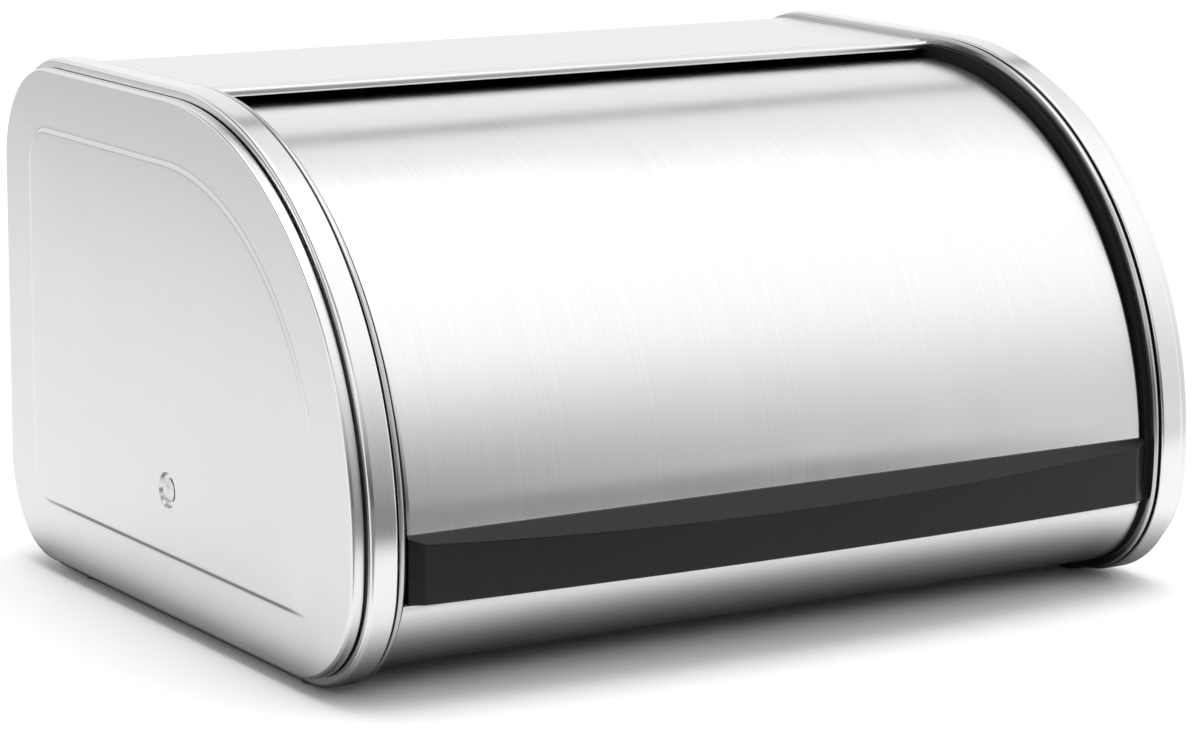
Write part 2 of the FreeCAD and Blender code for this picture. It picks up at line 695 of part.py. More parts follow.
def lid_handle():
    """Black bar across the lid's lower edge, bowed outwards, with a sloping top facet."""
    body = new_body("lid_handle", PIVOT_HIGH)
    plan = new_sketch(body, "plan", role="XY_Plane", offset="handle_low - pivot_high")
    rear_y = "handle_root - lid_radius"
    end_y = "0 - lid_radius - handle_end_edge"
    corner_y = "0 - lid_radius - handle_end_thick"
    corner_x = "handle_half - handle_bevel"
    bow = "(rim_deep / 2 + handle_proud - lid_radius - handle_end_thick)"
    bow_radius = f"(({corner_x})^2 + {bow}^2) / (2 * {bow})"
    left = (f"0 - ({corner_x})", corner_y)
    run = [(corner_x, corner_y), ("handle_half", end_y), ("handle_half", rear_y),
           ("0 - handle_half", rear_y), ("0 - handle_half", end_y), left]
    centre_y = value(bow_radius) - value("rim_deep / 2 + handle_proud")
    half_sweep = math.degrees(math.asin(value(corner_x) / value(bow_radius)))
    plan.addGeometry(arc(0, centre_y, value(bow_radius), 270 - half_sweep, 270 + half_sweep))
    for start, stop in zip(run, run[1:]):
        plan.addGeometry(Part.LineSegment(vector(*start), vector(*stop)))
    for index in range(6):
        plan.addConstraint(Sketcher.Constraint("Coincident", index, 2, (index + 1) % 6, 1))
    place_point(plan, 0, 1, *left)
    for index, point in enumerate(run[:5], start=1):
        place_point(plan, index, 1, *point)
    dimension(plan, "Radius", 0, bow_radius)
    pad(body, plan, "bar", "handle_top - handle_low", 1)
    facet = new_sketch(body, "facet")
    top = "handle_top - pivot_high"
    out = f"0 - lid_radius - {BIG}"
    foot_of_slope = f"{top} - {BIG} * facet_slope"
    above = f"{BIG}"
    polygon(facet, [("0 - lid_radius", top), (out, foot_of_slope), (out, above), ("0 - lid_radius", above)])
    cut_through(body, facet, "facet_cut")
    seat = new_sketch(body, "seat", role="XZ_Plane")
    rectangle(seat, f"0 - {BIG}", "0", f"{BIG}", "lid_radius")
    seated = feature(body, "PartDesign::Groove", seat, "seat_cut")
    seated.ReferenceAxis = (seat, ["H_Axis"])
    seated.Angle = 360
    screws = new_sketch(body, "screw_holes", role="XZ_Plane")
    for share in SCREW_SHARES:
        circle(screws, f"{share} * lid_half", "0 - handle_screw_low", "handle_screw_wide")
    bored = cut(body, screws, "screw_cut", "lid_radius + handle_screw_bite", 1)
    doc.recompute()
    long_edges = [f"Edge{number}" for number, edge in enumerate(bored.Shape.Edges, start=1)
                  if edge.BoundBox.XLength > value("handle_half") and edge.BoundBox.YMin < value(corner_y)]
    rounded = body.newObject("PartDesign::Fillet", "lid_handle_round")
    rounded.Base = (bored, long_edges)
    bind(rounded, Radius="handle_round")


def cylinder(name, wide, high, across, along, up, turn):
    """A cylinder standing on a point, its axis turned from +Z."""
    solid = doc.addObject("Part::Cylinder", name)
    solid.Placement = FreeCAD.Placement(FreeCAD.Vector(0, 0, 0), turn)
    bind(solid, Radius=f"({wide}) / 2", Height=high, Placement__Base__x=across,
         Placement__Base__y=along, Placement__Base__z=up)
    return solid


def fastener(name, head, shank):
    joined = doc.addObject("Part::Fuse", name)
    joined.Base = head
    joined.Tool = shank
    return joined


def group(label, pieces):
    """Identical fasteners as one sub-part of separate solids."""
    bundle = doc.addObject("Part::Compound", label)
    bundle.Links = pieces
    keep(bundle, label, PIVOT_HIGH)


def handle_screws():
    """Pan-head screws from inside the lid into the handle."""
    forward = FreeCAD.Rotation(FreeCAD.Vector(1, 0, 0), 90)
    seat = "(0 - lid_radius + sheet_thick + handle_screw_seat)"
    screws = []
    for number, share in enumerate(SCREW_SHARES, start=1):
        across = f"{share} * lid_half"
        low = "0 - handle_screw_low"
        head = cylinder(f"screw_head_{number}", "handle_screw_head_wide", "handle_screw_head_thick",
                        across, f"{seat} + handle_screw_head_thick", low, forward)
        reach = f"{seat} + lid_radius + handle_screw_bite"
        shank = cylinder(f"screw_shank_{number}", "handle_screw_wide", reach, across, seat, low, forward)
        screws.append(fastener(f"screw_{number}", head, shank))
    group("handle_screws", screws)


def arm_rivets(label, side):
    """Rivets through the lid's end flange and an arm, with their heads inside."""
    outward = FreeCAD.Rotation(FreeCAD.Vector(0, 1, 0), 90 * side)
    rivets = []
    for number, share in enumerate(ARM_RIVET_SHARES, start=1):
        place = polar("arm_rivet_radius", rivet_angle(share))
        head_start = station(side, f"{ARM_INNER} + arm_rivet_head_thick")
        head = cylinder(f"{label}_head_{number}", "arm_rivet_head_wide", "arm_rivet_head_thick",
                        head_start, *place, outward)
        shank = cylinder(f"{label}_shank_{number}", "arm_rivet_wide", "arm_thick + sheet_thick",
                         station(side, ARM_INNER), *place, outward)
        rivets.append(fastener(f"{label}_{number}", head, shank))
    group(label, rivets)


back_shell()
base_pan()
for side_name, side in SIDES.items():
    side_panel(f"{side_name}_side_panel", side)
    rim_band(f"{side_name}_rim_band", side)
    trim_ring(f"{side_name}_trim_ring", side)
    end_liner(f"{side_name}_end_liner", side)
    pivot_rivet(f"{side_name}_pivot_rivet", side)
    pivot_washer(f"{side_name}_pivot_washer", side)
    stop_bumper(f"{side_name}_open_stop", side, True)
    stop_bumper(f"{side_name}_closed_stop", side, False)
    for place, way in FOOT_PLACES.items():
        foot(f"{place}_{side_name}_foot", side, way)
    lid_arm(f"{side_name}_lid_arm", side)
    pivot_bush(f"{side_name}_pivot_bush", side)
    arm_rivets(f"{side_name}_arm_rivets", side)
lid_sheet()
lid_handle()
handle_screws()
doc.recompute()

failed = [item.Name for item in doc.Objects if "Invalid" in item.State or "Error" in item.State]
failed += [part.Label for part in parts if part.Shape.isNull() or not part.Shape.isValid()]
if failed:
    raise SystemExit(f"failed objects: {failed}")
for part in parts:
    part.Shape.exportStep(f"parts/{part.Label}.step")
    box = part.Shape.optimalBoundingBox(False, False)
    print(f"{part.Label:22s} {len(part.Shape.Solids)} solid {part.Shape.Volume:9.1f} mm3", box)
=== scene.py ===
import bpy
import bmesh
import json
import math
import numpy as np
from mathutils import Matrix, Vector


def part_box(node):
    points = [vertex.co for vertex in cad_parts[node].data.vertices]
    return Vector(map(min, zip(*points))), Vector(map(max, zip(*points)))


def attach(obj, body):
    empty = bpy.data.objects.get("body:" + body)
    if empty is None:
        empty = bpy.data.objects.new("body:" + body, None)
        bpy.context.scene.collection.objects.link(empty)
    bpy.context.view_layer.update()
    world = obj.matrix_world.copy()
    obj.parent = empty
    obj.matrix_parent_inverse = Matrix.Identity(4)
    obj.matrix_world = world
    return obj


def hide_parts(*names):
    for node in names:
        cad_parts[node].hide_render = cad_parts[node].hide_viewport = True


# A brushed steel bread box with a roll top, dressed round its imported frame. All lengths are metres.
# Sections are drawn in (y, z). On the ends, depth is measured inwards from the panels' outer faces,
# and inset inwards from the rim bands' outline.
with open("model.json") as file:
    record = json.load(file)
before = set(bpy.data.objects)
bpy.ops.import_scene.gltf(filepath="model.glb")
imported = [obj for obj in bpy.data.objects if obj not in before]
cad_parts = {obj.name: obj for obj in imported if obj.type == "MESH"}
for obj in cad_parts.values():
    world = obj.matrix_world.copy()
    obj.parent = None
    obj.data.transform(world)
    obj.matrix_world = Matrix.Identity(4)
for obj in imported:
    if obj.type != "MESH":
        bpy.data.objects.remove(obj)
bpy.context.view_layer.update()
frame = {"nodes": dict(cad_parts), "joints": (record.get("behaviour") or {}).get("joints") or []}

MM = 0.001
SIDES = {"left": -1, "right": 1}

# The ends' outline, from the rim band, and the lid's axis, from its joint.
RIM_LOW, RIM_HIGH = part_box("left_rim_band")
RIM_Y = (RIM_LOW.y + RIM_HIGH.y) / 2
RIM_Z = RIM_LOW.z
RIM_TALL = RIM_HIGH.z - RIM_LOW.z
FRONT_RADIUS = (RIM_HIGH.y - RIM_LOW.y) / 2
FRONT_CORNER = 42 * MM
BACK_LOW_CORNER = 36 * MM
BACK_TOP_CORNER = 38 * MM
PIVOT = Vector(frame["joints"][0]["pos_m"])
END_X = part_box("right_side_panel")[1].x

# Numbers of points on the outline's parts.
FLOOR_POINTS = 36
BACK_POINTS = 20
TOP_POINTS = 16
CORNER_POINTS = 24
ARC_POINTS = 120
TOE_POINTS = 36

SHEET = 0.6 * MM
GRAIN_MAP = "grain"
CREASE = math.radians(32)
TINY = 1e-7


# ---------------------------------------------------------------- outlines

def line_points(start, stop, count):
    share = np.arange(count)[:, None] / count
    return np.array(start) * (1 - share) + np.array(stop) * share


def arc_points(centre, radius, start, stop, count):
    """Points round an arc, from one angle in degrees towards another, which isn't reached."""
    angle = np.radians(start + (stop - start) * np.arange(count) / count)
    return np.array(centre) + radius * np.stack([np.cos(angle), np.sin(angle)], axis=1)


def end_outline(floor, top=None, back=None, corner=None):
    """Points (y, z) round the end's outline, set in from the rim; the same count for any inset."""
    top = floor if top is None else top
    back = floor if back is None else back
    toe = (FRONT_CORNER if corner is None else corner) - floor
    low = BACK_LOW_CORNER - back
    upper = BACK_TOP_CORNER - back
    front = FRONT_RADIUS - top
    arc_z = RIM_Z + RIM_TALL - FRONT_RADIUS
    top_z = RIM_Z + RIM_TALL - top
    base_z = RIM_Z + floor
    back_y = RIM_Y + FRONT_RADIUS - back
    toe_z = base_z + toe
    toe_y = RIM_Y - math.sqrt((front - toe) ** 2 - (arc_z - toe_z) ** 2)
    meet = 180 + math.degrees(math.atan2(arc_z - toe_z, RIM_Y - toe_y))
    return np.concatenate([
        line_points((toe_y, base_z), (back_y - low, base_z), FLOOR_POINTS),
        arc_points((back_y - low, base_z + low), low, 270, 360, CORNER_POINTS),
        line_points((back_y, base_z + low), (back_y, top_z - upper), BACK_POINTS),
        arc_points((back_y - upper, top_z - upper), upper, 0, 90, CORNER_POINTS),
        line_points((back_y - upper, top_z), (RIM_Y, top_z), TOP_POINTS),
        arc_points((RIM_Y, arc_z), front, 90, meet, ARC_POINTS),
        arc_points((toe_y, toe_z), toe, meet, 270, TOE_POINTS),
    ])


def along(points, closed=False):
    """Length from the first point to each one; a closed run has one more, back at the start."""
    run = np.concatenate([points, points[:1]]) if closed else points
    steps = np.linalg.norm(np.diff(run, axis=0), axis=1)
    return np.concatenate([[0], np.cumsum(steps)])


def normals_2d(points, closed=False):
    """Unit normals on the right-hand side of a run of points."""
    if closed:
        step = np.roll(points, -1, axis=0) - np.roll(points, 1, axis=0)
    else:
        step = np.gradient(points, axis=0)
    step /= np.linalg.norm(step, axis=1)[:, None]
    return np.stack([step[:, 1], -step[:, 0]], axis=1)


# ---------------------------------------------------------------- meshes

def build(name, body, material, verts, faces, uvs, nodes, wear=None):
    """A mesh piece on a body: uvs hold each face corner's place along and across the grain."""
    mesh = bpy.data.meshes.new(name)
    mesh.from_pydata([tuple(v) for v in verts], [], [tuple(f) for f in faces])
    layer = mesh.uv_layers.new(name=GRAIN_MAP)
    layer.data.foreach_set("uv", np.array(uvs, float).ravel())
    mesh.polygons.foreach_set("use_smooth", [True] * len(mesh.polygons))
    if wear is not None:
        attribute = mesh.attributes.new("wear", "FLOAT", "POINT")
        attribute.data.foreach_set("value", np.array(wear, np.float32))
    mesh.update()
    made = bmesh.new()
    made.from_mesh(mesh)
    bmesh.ops.recalc_face_normals(made, faces=made.faces)
    for edge in made.edges:
        if len(edge.link_faces) == 2 and edge.calc_face_angle() > CREASE:
            edge.smooth = False
    made.to_mesh(mesh)
    made.free()
    mesh.materials.append(material)
    piece = bpy.data.objects.new(name, mesh)
    bpy.context.scene.collection.objects.link(piece)
    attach(piece, body)
    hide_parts(*nodes)
    return piece


def grid(rows, closed_rows, closed_columns, row_lengths, column_lengths):
    """Vertices, faces and grain coordinates of a grid of points, rows by columns."""
    rows = np.array(rows)
    count, width = rows.shape[:2]
    faces, uvs = [], []
    for i in range(count if closed_rows else count - 1):
        following = (i + 1) % count
        for j in range(width if closed_columns else width - 1):
            beside = (j + 1) % width
            faces.append((i * width + j, i * width + beside,
                          following * width + beside, following * width + j))
            u0, u1 = column_lengths[j], column_lengths[j + 1]
            v0, v1 = row_lengths[i], row_lengths[i + 1]
            uvs += [(u0, v0), (u1, v0), (u1, v1), (u0, v1)]
    return rows.reshape(-1, 3), faces, uvs


def hoop(name, side, profile, material):
    """A ring round the end that stands in for its node: profile is a closed run of (depth, inset)."""
    rows = []
    for depth, inset in profile:
        loop = end_outline(inset)
        rows.append(np.column_stack([np.full(len(loop), side * (END_X - depth)), loop]))
    around = along(end_outline(0), closed=True)
    across = along(np.array(profile), closed=True)
    verts, faces, uvs = grid(rows, True, True, across, around)
    return build(f"{name}_skin", "box", material, verts, faces, uvs, [name])


def sheet_ends(count, rows, lengths, thick):
    """Faces that close a folded sheet's end rows, count points a side, with their grain coordinates."""
    total = 2 * count
    faces, uvs = [], []
    for first in (0, (rows - 1) * total):
        for i in range(count - 1):
            faces.append((first + i, first + i + 1, first + total - 2 - i, first + total - 1 - i))
            uvs += [(lengths[i], 0), (lengths[i + 1], 0), (lengths[i + 1], thick), (lengths[i], thick)]
    return faces, uvs


def strip(outer, thick, stations):
    """A sheet of even thickness: outer is its section's outer side, run along stations in X."""
    inner = outer - normals_2d(outer) * thick
    section = np.concatenate([outer, inner[::-1]])
    rows = [np.column_stack([np.full(len(section), x), section]) for x in stations]
    lengths = along(section, closed=True)
    verts, faces, uvs = grid(rows, False, True, stations, lengths)
    end_faces, end_uvs = sheet_ends(len(outer), len(stations), lengths, thick)
    return verts, faces + end_faces, uvs + [(across, length) for length, across in end_uvs]


# A point this share of the radius past each end of a round corner keeps its shading off the flats.
SUPPORT = 0.12
STRAIGHT = 1e-4


def rounded_run(corners, counts=6):
    """A run of straight lines with round corners of counts steps each; corners are (point, radius)."""
    points = [np.array(corners[0][0], float)]
    for before, (here, radius), after in zip(corners, corners[1:], corners[2:]):
        start = np.array(before[0], float)
        middle = np.array(here, float)
        stop = np.array(after[0], float)
        a = (start - middle) / np.linalg.norm(start - middle)
        b = (stop - middle) / np.linalg.norm(stop - middle)
        half = math.acos(max(-1, min(1, float(a @ b)))) / 2
        if radius == 0 or abs(half - math.pi / 2) < STRAIGHT:
            points.append(middle)
            continue
        reach = radius / math.tan(half)
        centre = middle + (a + b) / np.linalg.norm(a + b) * radius / math.sin(half)
        first, last = middle + a * reach, middle + b * reach
        u, v = first - centre, last - centre
        sweep = math.acos(max(-1, min(1, float(u @ v) / radius ** 2)))
        points.append(first + a * radius * SUPPORT)
        for k in range(counts + 1):
            share = k / counts
            points.append(centre + (math.sin((1 - share) * sweep) * u + math.sin(share * sweep) * v)
                          / math.sin(sweep))
        points.append(last + b * radius * SUPPORT)
    points.append(np.array(corners[-1][0], float))
    return np.array(points)


# ---------------------------------------------------------------- materials

# Sockets of the colour Mix node: share, the two colours and the result.
MIX_SHARE, MIX_FROM, MIX_TO, MIX_RESULT = 0, 6, 7, 2


class Graph:
    """Short calls for one material's node tree."""

    def __init__(self, tree):
        self.tree = tree

    def node(self, kind, settings=None, **inputs):
        made = self.tree.nodes.new(kind)
        for name, number in (settings or {}).items():
            setattr(made, name, number)
        for name, item in inputs.items():
            self.set(made.inputs[name.replace("_", " ")], item)
        return made

    def set(self, socket, item):
        if isinstance(item, bpy.types.NodeSocket):
            self.tree.links.new(item, socket)
        else:
            socket.default_value = item

    def math(self, operation, *items, clamp=False):
        made = self.tree.nodes.new("ShaderNodeMath")
        made.operation = operation
        made.use_clamp = clamp
        for socket, item in zip(made.inputs, items):
            self.set(socket, item)
        return made.outputs[0]

    def product(self, first, *others):
        """Several values multiplied together."""
        for other in others:
            first = self.math("MULTIPLY", first, other)
        return first

    def sized(self, vector, *sizes):
        """A place measured in the given sizes, or in one size all ways."""
        sizes = sizes * 3 if len(sizes) == 1 else sizes
        made = self.node("ShaderNodeMapping")
        self.set(made.inputs["Vector"], vector)
        made.inputs["Scale"].default_value = [1 / size for size in sizes]
        return made.outputs[0]

    def noise(self, vector, detail=2.0, roughness=0.5):
        made = self.node("ShaderNodeTexNoise", Scale=1.0, Detail=detail, Roughness=roughness)
        self.set(made.inputs["Vector"], vector)
        return made.outputs["Fac"]

    def span(self, value, low, high, to_low=0.0, to_high=1.0, smooth=False):
        """A value between low and high carried over to between two others, and held there outside them."""
        made = self.node("ShaderNodeMapRange")
        made.interpolation_type = "SMOOTHSTEP" if smooth else "LINEAR"
        for socket, item in zip(made.inputs, (value, low, high, to_low, to_high)):
            self.set(socket, item)
        return made.outputs[0]

    def mix(self, share, first, second):
        """From the first colour to the second as share goes from 0 to 1; either may be a socket."""
        made = self.node("ShaderNodeMix", {"data_type": "RGBA"})
        self.set(made.inputs[MIX_SHARE], share)
        for socket, item in ((made.inputs[MIX_FROM], first), (made.inputs[MIX_TO], second)):
            self.set(socket, item if isinstance(item, bpy.types.NodeSocket) else (*item, 1))
        return made.outputs[MIX_RESULT]

    def bump(self, height, strength, distance):
        return self.node("ShaderNodeBump", Height=height, Strength=strength, Distance=distance).outputs[0]

    def edges(self, radius):
        """1 near a sharp edge and 0 on the open surface, from how far rounding would turn the surface."""
        bevel = self.node("ShaderNodeBevel", {"samples": 4}, Radius=radius)
        facing = self.node("ShaderNodeNewGeometry")
        turn = self.node("ShaderNodeVectorMath", {"operation": "DOT_PRODUCT"})
        self.set(turn.inputs[0], bevel.outputs[0])
        self.set(turn.inputs[1], facing.outputs["Normal"])
        return self.span(turn.outputs["Value"], 0.995, 0.9)

    def object_place(self):
        return self.node("ShaderNodeTexCoord").outputs["Object"]

    def grain_place(self):
        return self.node("ShaderNodeUVMap", {"uv_map": GRAIN_MAP}).outputs[0]


def new_material(name):
    material = bpy.data.materials.new(name)
    material.use_nodes = True
    graph = Graph(material.node_tree)
    shader = material.node_tree.nodes["Principled BSDF"]
    return material, graph, shader


# Brushing strokes, across and along them, and the clouds in the steel's gloss.
FINE_STROKE = (0.32 * MM, 45 * MM)
BROAD_STROKE = (1.1 * MM, 160 * MM)
STEEL_CLOUD = 28 * MM
WORN_STEEL = (0.86, 0.86, 0.855)


def brushed_steel(name, tone, gloss, anisotropy, along_v=True, grit=1.0):
    """Brushed stainless sheet: long fine strokes along one way of the grain map, faint clouds, worn folds."""
    material, graph, shader = new_material(name)
    place = graph.grain_place()
    fine = FINE_STROKE if along_v else FINE_STROKE[::-1]
    broad = BROAD_STROKE if along_v else BROAD_STROKE[::-1]
    strokes = graph.noise(graph.sized(place, *fine, 1), detail=3, roughness=0.6)
    bands = graph.noise(graph.sized(place, *broad, 1), detail=2)
    clouds = graph.noise(graph.sized(place, STEEL_CLOUD), detail=3)
    mixed = graph.math("ADD", graph.product(strokes, 0.55), graph.product(bands, 0.45))
    mixed = graph.span(mixed, 0.3, 0.7)
    wear = graph.node("ShaderNodeAttribute", {"attribute_name": "wear"}).outputs["Fac"]
    low = tone - 0.035 * grit
    high = tone + 0.03 * grit
    base = graph.mix(mixed, (low, low, low * 0.995), (high, high, high))
    graph.set(shader.inputs["Base Color"], graph.mix(graph.product(wear, 0.6), base, WORN_STEEL))
    rough = graph.math("ADD", graph.span(mixed, 0, 1, gloss - 0.025, gloss + 0.03),
                       graph.span(clouds, 0.3, 0.7, -0.02, 0.02))
    rough = graph.math("SUBTRACT", rough, graph.product(wear, 0.06), clamp=True)
    graph.set(shader.inputs["Roughness"], rough)
    shader.inputs["Metallic"].default_value = 1
    shader.inputs["Anisotropic"].default_value = anisotropy
    if not along_v:
        shader.inputs["Anisotropic Rotation"].default_value = 0.25
    tangent = graph.node("ShaderNodeTangent", {"direction_type": "UV_MAP", "uv_map": GRAIN_MAP})
    graph.set(shader.inputs["Tangent"], tangent.outputs[0])
    graph.set(shader.inputs["Normal"], graph.bump(mixed, 0.08 * grit, 0.02 * MM))
    return material


def moulded_plastic(name, low, high, gloss, shine):
    """Moulded plastic with a fine spark texture, soft clouds in its gloss and rubbed edges."""
    material, graph, shader = new_material(name)
    place = graph.object_place()
    spark = graph.noise(graph.sized(place, 0.35 * MM), detail=3, roughness=0.65)
    clouds = graph.noise(graph.sized(place, 30 * MM), detail=4)
    rubbed = graph.edges(0.5 * MM)
    tone = graph.mix(graph.span(clouds, 0.3, 0.7), (low,) * 3, (high,) * 3)
    graph.set(shader.inputs["Base Color"], graph.mix(graph.product(rubbed, 0.5), tone, (high * 2.2,) * 3))
    rough = graph.math("ADD", graph.span(spark, 0.3, 0.7, gloss - 0.04, gloss + 0.05),
                       graph.span(clouds, 0.3, 0.7, -0.03, 0.03))
    rough = graph.math("SUBTRACT", rough, graph.product(rubbed, 0.08), clamp=True)
    graph.set(shader.inputs["Roughness"], rough)
    shader.inputs["Specular IOR Level"].default_value = shine
    graph.set(shader.inputs["Normal"], graph.bump(spark, 0.12, 0.03 * MM))
    return material


def soft_rubber(name):
    """Matt rubber with a dusty bloom."""
    material, graph, shader = new_material(name)
    place = graph.object_place()
    grit = graph.noise(graph.sized(place, 0.5 * MM), detail=4, roughness=0.7)
    dust = graph.noise(graph.sized(place, 6 * MM), detail=3)
    tone = graph.mix(graph.span(dust, 0.35, 0.75), (0.018, 0.018, 0.019), (0.045, 0.044, 0.043))
    graph.set(shader.inputs["Base Color"], tone)
    graph.set(shader.inputs["Roughness"], graph.span(grit, 0.3, 0.7, 0.68, 0.86))
    graph.set(shader.inputs["Normal"], graph.bump(grit, 0.25, 0.05 * MM))
    return material


def nylon(name):
    """Natural nylon, slightly waxy, with faint flow marks."""
    material, graph, shader = new_material(name)
    flow = graph.noise(graph.sized(graph.object_place(), 1.5 * MM, 4 * MM, 4 * MM), detail=3)
    tone = graph.mix(graph.span(flow, 0.3, 0.7), (0.62, 0.6, 0.54), (0.72, 0.7, 0.65))
    graph.set(shader.inputs["Base Color"], tone)
    graph.set(shader.inputs["Roughness"], graph.span(flow, 0.3, 0.7, 0.38, 0.5))
    shader.inputs["Subsurface Weight"].default_value = 0.12
    shader.inputs["Subsurface Radius"].default_value = (2 * MM, 1.8 * MM, 1.5 * MM)
    graph.set(shader.inputs["Normal"], graph.bump(flow, 0.1, 0.05 * MM))
    return material


def turned_steel(name):
    """Plated fastener steel with fine machining marks and bright rubbed edges."""
    material, graph, shader = new_material(name)
    place = graph.object_place()
    marks = graph.noise(graph.sized(place, 0.12 * MM, 1.5 * MM, 1.5 * MM), detail=3)
    clouds = graph.noise(graph.sized(place, 3 * MM), detail=3)
    rubbed = graph.edges(0.3 * MM)
    tone = graph.mix(graph.span(clouds, 0.3, 0.7), (0.6, 0.6, 0.59), (0.7, 0.7, 0.7))
    graph.set(shader.inputs["Base Color"], graph.mix(graph.product(rubbed, 0.7), tone, (0.85, 0.85, 0.84)))
    shader.inputs["Metallic"].default_value = 1
    graph.set(shader.inputs["Roughness"], graph.span(marks, 0.3, 0.7, 0.2, 0.32))
    graph.set(shader.inputs["Normal"], graph.bump(marks, 0.1, 0.02 * MM))
    return material


STEEL_LID = brushed_steel("lid_brushed_steel", 0.75, 0.2, 0.7, grit=0.9)
STEEL_SHELL = brushed_steel("shell_brushed_steel", 0.75, 0.22, 0.6, grit=0.6)
STEEL_PANEL = brushed_steel("panel_brushed_steel", 0.68, 0.24, 0.2, along_v=False, grit=0.4)
STEEL_RIM = brushed_steel("rim_brushed_steel", 0.73, 0.16, 0.35, along_v=False, grit=0.4)
STEEL_TRIM = brushed_steel("trim_brushed_steel", 0.5, 0.22, 0.35, along_v=False, grit=0.4)
FASTENER = turned_steel("fastener_plated_steel")
BLACK_HANDLE = moulded_plastic("handle_black_plastic", 0.002, 0.004, gloss=0.26, shine=0.27)
BLACK_LINER = moulded_plastic("liner_black_plastic", 0.006, 0.01, gloss=0.6, shine=0.12)
RUBBER = soft_rubber("black_rubber")
NYLON = nylon("natural_nylon")


# ---------------------------------------------------------------- ends

# The end panel: a flat border, PANEL_STEP below a raised middle with a stamped step round it.
PANEL_STEP = 0.7 * MM
RAISED_INSET = 23.4 * MM
RAISED_CORNER = 34 * MM
STEP_DROP = 0.5 * MM
STEP_WIDE = 2.2 * MM
SHOULDER_WIDE = 16 * MM
BORDER_INSET = 9 * MM
BORDER_SHARES = (0.25, 0.5, 0.75, 0.96, 1.0)
SHOULDER_STEPS = (3.0 * MM, 4.2 * MM, 6.0 * MM)

# Its rolled lip, and the back that runs behind it, as (depth, inset).
FACE_INSET = 3.4 * MM
LIP_ROUND = 1.1 * MM
LIP_WEAR = 0.4
LIP_SECTION = [
    ((6.5 * MM, 5.0 * MM), 0),
    ((6.5 * MM, 4.2 * MM), 0.3 * MM),
    ((4.95 * MM, 4.2 * MM), 0.3 * MM),
    ((4.8 * MM, FACE_INSET), 0.4 * MM),
    ((PANEL_STEP, FACE_INSET), LIP_ROUND),
    ((PANEL_STEP, BORDER_INSET), 0),
]
PANEL_BACK = [(1.7 * MM, 24 * MM), (1.7 * MM, 5.6 * MM), (2.2 * MM, 5.0 * MM)]

# Where the stamped step fades out at the lower front: Y is from the rim band's middle and Z from its foot.
# The fade is short on the bottom line and long up the front.
BOTTOM_FADE_Y, BOTTOM_FADE_LONG = -88 * MM, 9 * MM
FRONT_FADE_Y, FRONT_FADE_LONG = -66 * MM, 32 * MM
FADE_SPREAD_Z, FADE_SPREAD_TALL = 30 * MM, 40 * MM
FADE_TOP_Z, FADE_TOP_TALL = 100 * MM, 36 * MM

# The pivot rivet in its dimple. The dome's span and flat top are angles in radians, and the clenched inner
# end is drawn as (height, radius).
SHAFT_RADIUS = 3.0 * MM
HEAD_RADIUS = 4.0 * MM
HEAD_TALL = 1.6 * MM
HEAD_EDGE = 0.45 * MM
DOME_TALL = 1.0 * MM
DOME_SPAN = 1.1
DOME_FLAT = 0.06
DOME_GAP = 0.02 * MM
CLENCHED_END = [(0.0, 3.2 * MM), (0.25 * MM, 3.9 * MM), (0.6 * MM, 4.3 * MM), (1.1 * MM, 4.5 * MM),
                (1.2 * MM, 4.4 * MM), (1.2 * MM, SHAFT_RADIUS)]
DIMPLE_RADIUS = 6.1 * MM
DIMPLE_DEEP = 1.2 * MM
DIMPLE_WALL = 0.8 * MM
DIMPLE_ROUND = 0.3 * MM
DIMPLE_BACK = 2.6 * MM
DIMPLE_BORDER = 0.8 * MM
DIMPLE_START = 0.5 * MM

# The rings' sections: outer and inner depth, inset, and the radii of the two edges.
BAND_SECTION = (5.5 * MM, 14.8 * MM, 0, 1.4 * MM, 0.7 * MM)
TRIM_SECTION = (15.7 * MM, 17.6 * MM, 0.6 * MM, 0.7 * MM, 0.7 * MM)


def smooth_step(x):
    x = np.clip(x, 0, 1)
    return x * x * (3 - 2 * x)


def openness(points):
    """0 where the raised middle is crisp and 1 where it has run out into the flat, at the lower front."""
    y, z = points[:, 0] - RIM_Y, points[:, 1] - RIM_Z
    spread = smooth_step((z - FADE_SPREAD_Z) / FADE_SPREAD_TALL)
    start = BOTTOM_FADE_Y + (FRONT_FADE_Y - BOTTOM_FADE_Y) * spread
    length = BOTTOM_FADE_LONG + (FRONT_FADE_LONG - BOTTOM_FADE_LONG) * spread
    ahead = smooth_step((start - y) / length)
    below = smooth_step((FADE_TOP_Z - z) / FADE_TOP_TALL)
    return ahead * below


def raised_depth(points, distance):
    """Depth at a distance inside the raised outline: a crisp step, then a soft shoulder up to the middle."""
    crisp = STEP_DROP * (1 - smooth_step(distance / STEP_WIDE))
    soft = (PANEL_STEP - STEP_DROP) * np.exp(-distance / SHOULDER_WIDE)
    return PANEL_STEP - (PANEL_STEP - crisp - soft) * (1 - openness(points))


def flat_loop(depth, points):
    """A loop of points (y, z), all at one depth."""
    return np.column_stack([np.full(len(points), depth), points])


def shaped_loop(points, distance):
    """A loop of points (y, z) on the raised middle, at a distance inside its outline."""
    return np.column_stack([raised_depth(points, distance), points])


